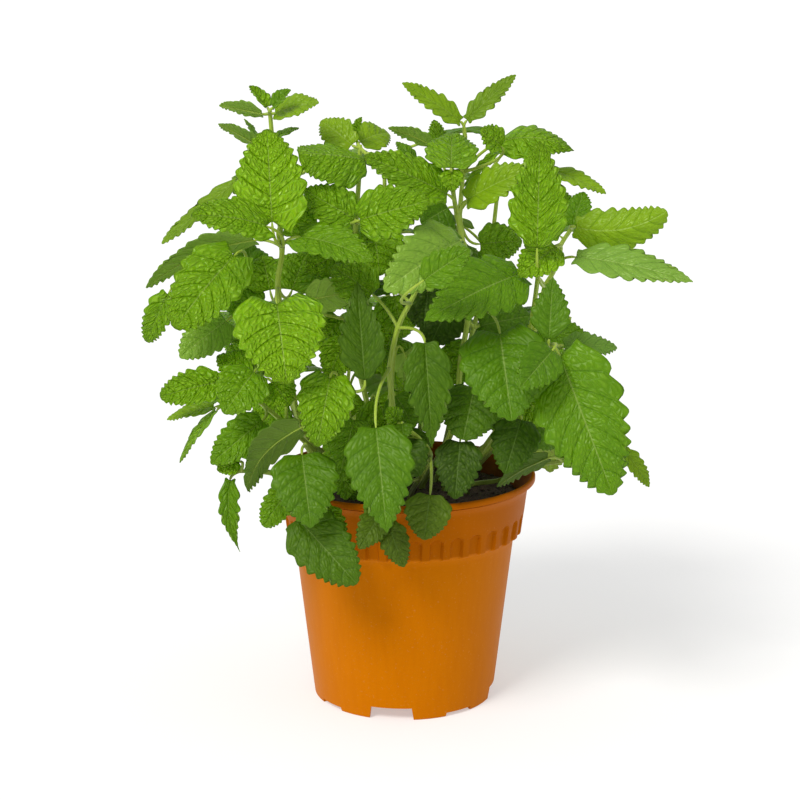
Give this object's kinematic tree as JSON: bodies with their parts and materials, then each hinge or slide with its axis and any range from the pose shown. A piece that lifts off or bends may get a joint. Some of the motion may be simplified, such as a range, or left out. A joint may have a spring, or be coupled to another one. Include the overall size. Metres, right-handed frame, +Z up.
{
  "type": "potted lemon balm",
  "caption": "Bushy lemon balm herb with crinkled, round-toothed leaves, growing in an orange plastic nursery pot for the windowsill or garden.",
  "frame": {"origin": "on the ground under the middle of the foliage's box, which is the axis of the pot", "axes": "+Z up along the pot's axis; -Y towards the viewer of the picture, the side with the hanging front leaves; +X to the viewer's right"},
  "size_m": [0.2612, 0.1987, 0.3073],
  "materials": {
    "pot_plastic": "satin",
    "potting_soil": "matte",
    "foliage": "satin"
  },
  "bodies": {
    "root": {"pot": "pot_plastic", "soil": "potting_soil", "stem_centre": "foliage", "stem_front_left": "foliage", "stem_front_low": "foliage", "stem_front_middle": "foliage", "stem_left_back": "foliage", "stem_left_low": "foliage", "stem_left_spray": "foliage", "stem_left_tall": "foliage", "stem_peak_back": "foliage", "stem_peak_front": "foliage", "stem_peak_left": "foliage", "stem_rear_left": "foliage", "stem_rear_low": "foliage", "stem_rear_low_left": "foliage", "stem_rear_low_right": "foliage", "stem_rear_middle": "foliage", "stem_rear_right": "foliage", "stem_right_back": "foliage", "stem_right_front": "foliage", "stem_right_low": "foliage", "stem_right_tall": "foliage"}
  },
  "joints": []
}
